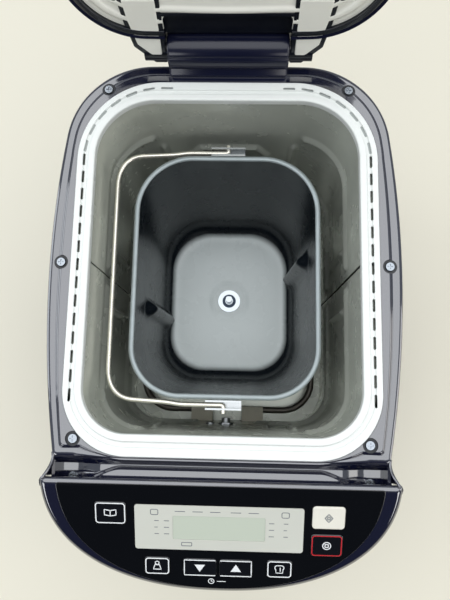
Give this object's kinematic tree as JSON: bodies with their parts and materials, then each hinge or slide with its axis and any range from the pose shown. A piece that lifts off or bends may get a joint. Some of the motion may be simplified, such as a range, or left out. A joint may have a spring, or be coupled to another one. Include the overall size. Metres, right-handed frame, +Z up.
{
  "type": "bread machine",
  "caption": "Countertop bread machine with a hinged lid, a sloping key panel, and a lift-out baking pan with a folding handle over a driven kneading shaft.",
  "frame": {"origin": "on the table, under the middle of the whole box with the lid open; the drive axis is 26.1 mm in front of it", "axes": "+Z up, +Y from the control panel to the hinge, +X to the right as the user faces the panel"},
  "size_m": [0.256, 0.5164, 0.5979],
  "materials": {
    "shell_navy": "glossy moulded, near-black navy",
    "base_black": "moulded, matt",
    "foot_rubber": "matt rubber",
    "screw_steel": "plated steel",
    "frame_plastic": "moulded, matt",
    "rim_white": "satin heat-resistant plastic",
    "chamber_sheet": "satin aluminised steel sheet",
    "heater_sheath": "heat-dulled steel sheath",
    "ceramic": "unglazed ceramic",
    "cast_alloy": "die-cast, matt",
    "belt_rubber": "ribbed rubber",
    "motor_steel": "plated steel",
    "pulley_plastic": "moulded nylon",
    "board_brown": "phenolic board",
    "board_green": "epoxy board",
    "film_black": "mirror-gloss printed film",
    "display_silver": "satin silver",
    "display_glass": "clear window over a grey-green display",
    "key_black": "glossy, light outline",
    "key_cream": "glossy cream",
    "lid_dark": "moulded, satin",
    "lid_liner": "satin cream-grey",
    "pan_coating": "dark non-stick coating on cast aluminium",
    "pan_edge": "bare satin edge",
    "bracket_steel": "stamped steel",
    "seal_rubber": "silicone seal",
    "handle_wire": "polished steel wire",
    "shaft_steel": "ground steel"
  },
  "bodies": {
    "machine": {"base_plate": "base_black", "rubber_feet": "foot_rubber", "base_screws": "screw_steel", "body_shell": "shell_navy", "cord_bush": "foot_rubber", "top_frame": "frame_plastic", "deck_bezel": "shell_navy", "deck_screws": "screw_steel", "front_trough": "shell_navy", "body_posts": "base_black", "vent_rim": "rim_white", "chamber_front": "chamber_sheet", "chamber_rear": "chamber_sheet", "chamber_floor": "chamber_sheet", "heater_element": "heater_sheath", "heater_terminals": "ceramic", "temperature_sensor": "screw_steel", "thermal_fuse": "screw_steel", "pan_seat": "chamber_sheet", "bearing_housing": "cast_alloy", "drive_belt": "belt_rubber", "motor_body": "motor_steel", "motor_bracket": "motor_steel", "motor_capacitor": "pulley_plastic", "power_board": "board_brown", "transformer": "motor_steel", "control_board": "board_green", "panel_housing": "shell_navy", "panel_film": "film_black", "display_plate": "display_silver", "display_module": "display_glass", "hinge_cover": "shell_navy", "hinge_pins": "screw_steel"},
    "lid": {"lid_shell": "shell_navy", "lid_frame": "lid_dark", "lid_plate": "lid_liner", "lid_arms": "lid_dark", "lid_screws": "screw_steel"},
    "pan": {"pan_body": "pan_coating", "pan_rim": "pan_edge", "handle_brackets": "bracket_steel", "pan_base_ring": "cast_alloy", "shaft_bush": "cast_alloy", "shaft_washer": "screw_steel", "shaft_seal": "seal_rubber"},
    "handle": {"pan_handle": "handle_wire"},
    "kneader": {"kneading_shaft": "shaft_steel", "wing_coupling": "cast_alloy"},
    "drive": {"drive_shaft": "shaft_steel", "large_pulley": "pulley_plastic", "drive_dog": "cast_alloy"},
    "motor_rotor": {"motor_shaft": "shaft_steel", "motor_pulley": "pulley_plastic"},
    "menu_key": {"menu_key": "key_black"},
    "start_key": {"start_key": "key_cream"},
    "stop_key": {"stop_key": "key_black"},
    "size_key": {"size_key": "key_black"},
    "crust_key": {"crust_key": "key_black"},
    "later_key": {"later_key": "key_black"},
    "earlier_key": {"earlier_key": "key_black"}
  },
  "joints": [
    {"name": "lid_hinge", "type": "hinge", "parent": "machine", "child": "lid", "pos_m": [0, 0.13288, 0.298], "axis": [-1, 0, 0], "range_deg": [-104, 0]},
    {"name": "pan_lift", "type": "slide", "parent": "machine", "child": "pan", "axis": [0, 0, 1], "range_m": [0, 0.26]},
    {"name": "handle_fold", "type": "hinge", "parent": "pan", "child": "handle", "pos_m": [0, -0.02612, 0.238], "axis": [0, 1, 0], "range_deg": [0, 180]},
    {"name": "drive_spin", "type": "hinge", "parent": "machine", "child": "drive", "pos_m": [0, -0.02612, 0.03], "axis": [0, 0, 1], "continuous": true},
    {"name": "motor_spin", "type": "hinge", "parent": "machine", "child": "motor_rotor", "pos_m": [0, -0.20812, 0.03], "axis": [0, 0, 1], "continuous": true},
    {"name": "kneader_spin", "type": "hinge", "parent": "pan", "child": "kneader", "pos_m": [0, -0.02612, 0.1], "axis": [0, 0, 1], "continuous": true},
    {"name": "menu_press", "type": "slide", "parent": "machine", "child": "menu_key", "axis": [0, 0.3665, -0.9304], "range_m": [0, 0.0008], "stiffness_N_per_m": 900},
    {"name": "start_press", "type": "slide", "parent": "machine", "child": "start_key", "axis": [0, 0.3665, -0.9304], "range_m": [0, 0.0008], "stiffness_N_per_m": 900},
    {"name": "stop_press", "type": "slide", "parent": "machine", "child": "stop_key", "axis": [0, 0.3665, -0.9304], "range_m": [0, 0.0008], "stiffness_N_per_m": 900},
    {"name": "size_press", "type": "slide", "parent": "machine", "child": "size_key", "axis": [0, 0.3665, -0.9304], "range_m": [0, 0.0008], "stiffness_N_per_m": 900},
    {"name": "crust_press", "type": "slide", "parent": "machine", "child": "crust_key", "axis": [0, 0.3665, -0.9304], "range_m": [0, 0.0008], "stiffness_N_per_m": 900},
    {"name": "later_press", "type": "slide", "parent": "machine", "child": "later_key", "axis": [0, 0.3665, -0.9304], "range_m": [0, 0.0008], "stiffness_N_per_m": 900},
    {"name": "earlier_press", "type": "slide", "parent": "machine", "child": "earlier_key", "axis": [0, 0.3665, -0.9304], "range_m": [0, 0.0008], "stiffness_N_per_m": 900}
  ],
  "couplings": [
    {"joint": "motor_spin", "follows": "drive_spin", "ratio": 5.1111},
    {"joint": "kneader_spin", "follows": "drive_spin", "ratio": 1}
  ]
}
